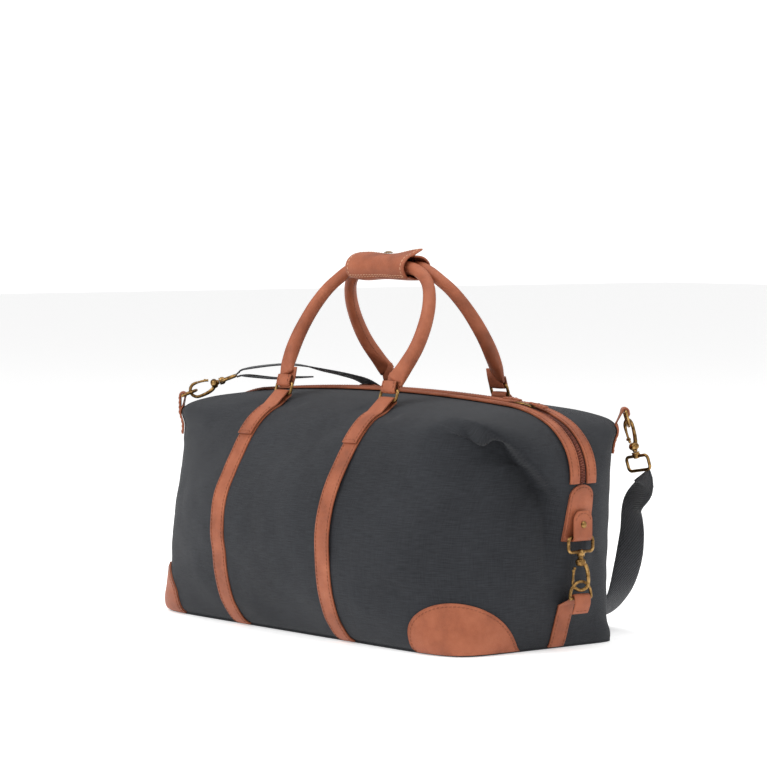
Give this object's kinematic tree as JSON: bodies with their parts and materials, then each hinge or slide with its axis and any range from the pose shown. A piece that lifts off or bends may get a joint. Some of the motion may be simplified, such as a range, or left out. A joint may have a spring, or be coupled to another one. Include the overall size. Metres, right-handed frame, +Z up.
{
  "type": "weekender bag",
  "caption": "Soft canvas weekender bag with rolled leather handles held by a snap wrap, brass fittings and a clipped shoulder strap.",
  "frame": {"origin": "Middle of the flat base, on the surface it stands on.", "axes": "+X along the bag's length to its right end, +Y towards the back, +Z up. The front panel faces -Y."},
  "size_m": [0.652, 0.3589, 0.4305],
  "materials": {
    "canvas": "charcoal woven canvas, matt",
    "lining": "plain woven lining",
    "leather": "tan, semi-matt, stitched edges",
    "webbing": "ribbed woven webbing",
    "zip": "red-brown tape and coil",
    "brass": "antique, softly polished",
    "board": "plain stiffener"
  },
  "bodies": {
    "bag": {"front_panel": "canvas", "back_panel": "canvas", "base_panel": "canvas", "base_board": "board", "inner_pocket": "lining", "corner_patch_left": "leather", "corner_patch_right": "leather", "strap_front_left": "leather", "strap_front_right": "leather", "strap_back_left": "leather", "strap_back_right": "leather", "zip_trim_front": "leather", "zip_trim_back": "leather", "end_patch_left": "leather", "end_patch_right": "leather", "hook_loop_left": "leather", "hook_loop_right": "leather", "end_strap_left": "leather", "end_strap_right": "leather", "strap_tab_left": "leather", "strap_tab_right": "leather", "shoulder_pad": "leather", "loop_rivet_left": "brass", "loop_rivet_right": "brass", "end_hook_left_eye": "brass", "end_hook_right_eye": "brass", "strap_hook_left_eye": "brass", "strap_hook_right_eye": "brass", "zip_chain": "zip", "shoulder_webbing": "webbing", "shoulder_webbing_return": "webbing"},
    "front_handle": {"handle_front": "leather", "ring_front_left": "brass", "ring_front_right": "brass"},
    "back_handle": {"handle_back": "leather", "ring_back_left": "brass", "ring_back_right": "brass", "handle_wrap": "leather"},
    "wrap_flap": {"wrap_flap": "leather", "wrap_stud_cap": "brass"},
    "slider_left": {"zip_slider_left": "brass"},
    "pull_left": {"zip_pull_left": "leather"},
    "slider_right": {"zip_slider_right": "brass"},
    "pull_right": {"zip_pull_right": "leather"},
    "end_hook_left": {"end_hook_left_body": "brass"},
    "end_hook_left_gate": {"end_hook_left_gate": "brass"},
    "end_hook_right": {"end_hook_right_body": "brass"},
    "end_hook_right_gate": {"end_hook_right_gate": "brass"},
    "strap_hook_left": {"strap_hook_left_body": "brass"},
    "strap_hook_left_gate": {"strap_hook_left_gate": "brass"},
    "strap_hook_right": {"strap_hook_right_body": "brass"},
    "strap_hook_right_gate": {"strap_hook_right_gate": "brass"},
    "end_ring_left": {"end_ring_left": "brass"},
    "end_ring_right": {"end_ring_right": "brass"},
    "strap_ring_left": {"strap_ring_left": "brass"},
    "strap_ring_right": {"strap_ring_right": "brass"}
  },
  "joints": [
    {"name": "front_handle_fold", "type": "hinge", "parent": "bag", "child": "front_handle", "pos_m": [0, -0.0673, 0.2631], "axis": [1, 0, 0], "range_deg": [0, 90]},
    {"name": "back_handle_fold", "type": "hinge", "parent": "bag", "child": "back_handle", "pos_m": [0, 0.0986, 0.2635], "axis": [-1, 0, 0], "range_deg": [0, 90]},
    {"name": "wrap_flap_open", "type": "hinge", "parent": "back_handle", "child": "wrap_flap", "pos_m": [0, -0.0016, 0.3981], "axis": [1, 0, 0], "range_deg": [0, 100]},
    {"name": "left_slider_travel", "type": "hinge", "parent": "bag", "child": "slider_left", "pos_m": [0, 0.018, -2.762], "axis": [0, -1, 0], "range_deg": [0, 6.6]},
    {"name": "right_slider_travel", "type": "hinge", "parent": "bag", "child": "slider_right", "pos_m": [0.232, 0.018, 0.157], "axis": [0, 1, 0], "range_deg": [0, 55]},
    {"name": "left_pull_lift", "type": "hinge", "parent": "slider_left", "child": "pull_left", "pos_m": [0.2205, 0.018, 0.2662], "axis": [0, 1, 0], "range_deg": [0, 120]},
    {"name": "right_pull_lift", "type": "hinge", "parent": "slider_right", "child": "pull_right", "pos_m": [0.2377, 0.018, 0.2641], "axis": [0, -1, 0], "range_deg": [0, 120]},
    {"name": "end_hook_left_swivel", "type": "hinge", "parent": "bag", "child": "end_hook_left", "pos_m": [-0.31894, 0.018, 0.1035], "axis": [0, 0, -1], "range_deg": [-7, 7]},
    {"name": "end_hook_left_gate_press", "type": "hinge", "parent": "end_hook_left", "child": "end_hook_left_gate", "pos_m": [-0.32309, 0.02313, 0.0911], "axis": [-0.7779, -0.6283, 0], "range_deg": [0, 25], "stiffness_Nm_per_rad": 0.02, "springref_deg": -11.46},
    {"name": "end_hook_right_swivel", "type": "hinge", "parent": "bag", "child": "end_hook_right", "pos_m": [0.31894, 0.018, 0.1035], "axis": [0, 0, -1], "range_deg": [-7, 7]},
    {"name": "end_hook_right_gate_press", "type": "hinge", "parent": "end_hook_right", "child": "end_hook_right_gate", "pos_m": [0.31479, 0.01287, 0.0911], "axis": [0.7779, -0.6283, 0], "range_deg": [0, 25], "stiffness_Nm_per_rad": 0.02, "springref_deg": -11.46},
    {"name": "strap_hook_left_swivel", "type": "hinge", "parent": "bag", "child": "strap_hook_left", "pos_m": [-0.24877, -0.0468, 0.26979], "axis": [-0.5808, -0.7357, -0.3485], "range_deg": [-6, 6]},
    {"name": "strap_hook_left_gate_press", "type": "hinge", "parent": "strap_hook_left", "child": "strap_hook_left_gate", "pos_m": [-0.2574, -0.05773, 0.27165], "axis": [0.7849, -0.6196, 0], "range_deg": [0, 25], "stiffness_Nm_per_rad": 0.02, "springref_deg": -11.46},
    {"name": "strap_hook_right_swivel", "type": "hinge", "parent": "bag", "child": "strap_hook_right", "pos_m": [0.29016, 0.12491, 0.20907], "axis": [-0.156, -0.1975, 0.9678], "range_deg": [-3, 3]},
    {"name": "strap_hook_right_gate_press", "type": "hinge", "parent": "strap_hook_right", "child": "strap_hook_right_gate", "pos_m": [0.29029, 0.11626, 0.22014], "axis": [-0.9368, -0.2811, -0.2084], "range_deg": [0, 25], "stiffness_Nm_per_rad": 0.02, "springref_deg": -11.46},
    {"name": "end_ring_left_tilt", "type": "hinge", "parent": "bag", "child": "end_ring_left", "pos_m": [-0.31894, 0.018, 0.059], "axis": [0, 1, 0], "range_deg": [-2.5, 2.5]},
    {"name": "end_ring_right_tilt", "type": "hinge", "parent": "bag", "child": "end_ring_right", "pos_m": [0.31894, 0.018, 0.059], "axis": [0, 1, 0], "range_deg": [-2.5, 2.5]},
    {"name": "strap_ring_left_tilt", "type": "hinge", "parent": "bag", "child": "strap_ring_left", "pos_m": [-0.27549, -0.08064, 0.25376], "axis": [-0.7848, 0.6198, 0], "range_deg": [-3, 3]},
    {"name": "strap_ring_right_tilt", "type": "hinge", "parent": "bag", "child": "strap_ring_right", "pos_m": [0.28299, 0.11582, 0.25359], "axis": [-0.7848, 0.6198, 0], "range_deg": [-1.5, 1.5]}
  ]
}
